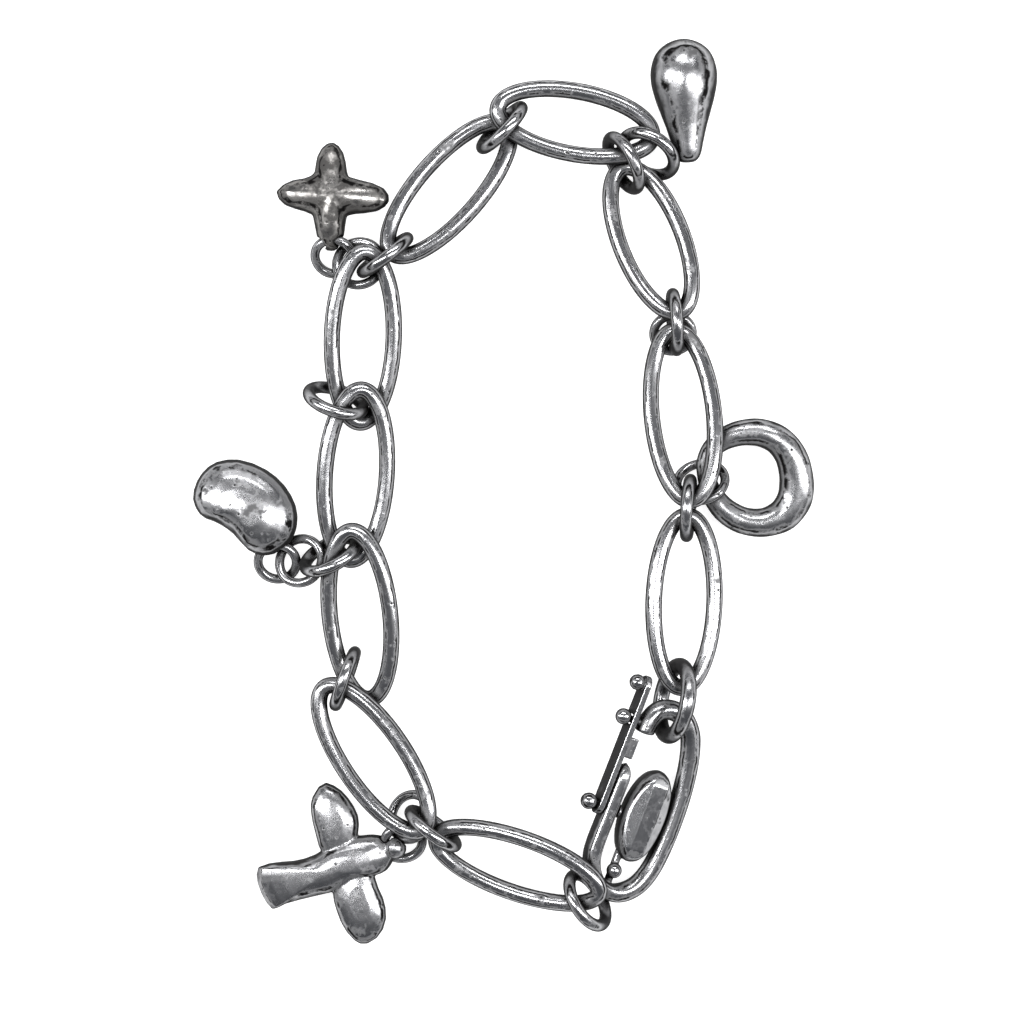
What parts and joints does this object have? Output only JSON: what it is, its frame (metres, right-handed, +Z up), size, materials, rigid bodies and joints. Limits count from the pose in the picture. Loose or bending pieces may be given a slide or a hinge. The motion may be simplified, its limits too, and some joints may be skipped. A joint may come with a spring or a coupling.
{
  "type": "charm bracelet",
  "caption": "Oxidised silver charm bracelet of oval links on round rings with small cast charms and a hinged oval clasp, lying in a loose loop.",
  "frame": {"origin": "centre of the bounding box at the table", "axes": "+Z up from the table, +Y along the loop's length towards the teardrop"},
  "size_m": [0.0622, 0.0904, 0.0082],
  "materials": {
    "links": "polished silver with dark oxidised recesses",
    "rings": "polished silver with dark oxidised recesses",
    "charms": "polished silver with dark oxidised recesses",
    "clasp": "polished silver with dark oxidised recesses"
  },
  "bodies": {
    "bracelet": {"link_1": "links", "link_2": "links", "link_3": "links", "link_4": "links", "link_5": "links", "link_6": "links", "link_7": "links", "link_8": "links", "link_9": "links", "link_10": "links", "connector_1": "rings", "connector_2": "rings", "connector_3": "rings", "connector_4": "rings", "connector_5": "rings", "connector_6": "rings", "connector_7": "rings", "clasp_ring": "rings", "connector_9": "rings", "connector_10": "rings", "connector_11": "rings", "teardrop_ring": "rings", "spare_ring": "rings", "star_ring": "rings", "star_spacer_ring": "rings", "bean_ring": "rings", "bean_spacer_ring": "rings", "bird_ring": "rings", "bird_spacer_ring": "rings", "hoop_ring": "rings", "star_charm": "charms", "bean_charm": "charms", "bird_charm": "charms", "teardrop_charm": "charms", "hoop_charm": "charms", "clasp_body": "clasp", "clasp_rivet": "clasp"},
    "gate": {"clasp_gate": "clasp"}
  },
  "joints": [
    {"name": "gate_hinge", "type": "hinge", "parent": "bracelet", "child": "gate", "pos_m": [0.00945, -0.03087, 0.00455], "axis": [0.8576, -0.3344, -0.3907], "range_deg": [0, 75]}
  ]
}
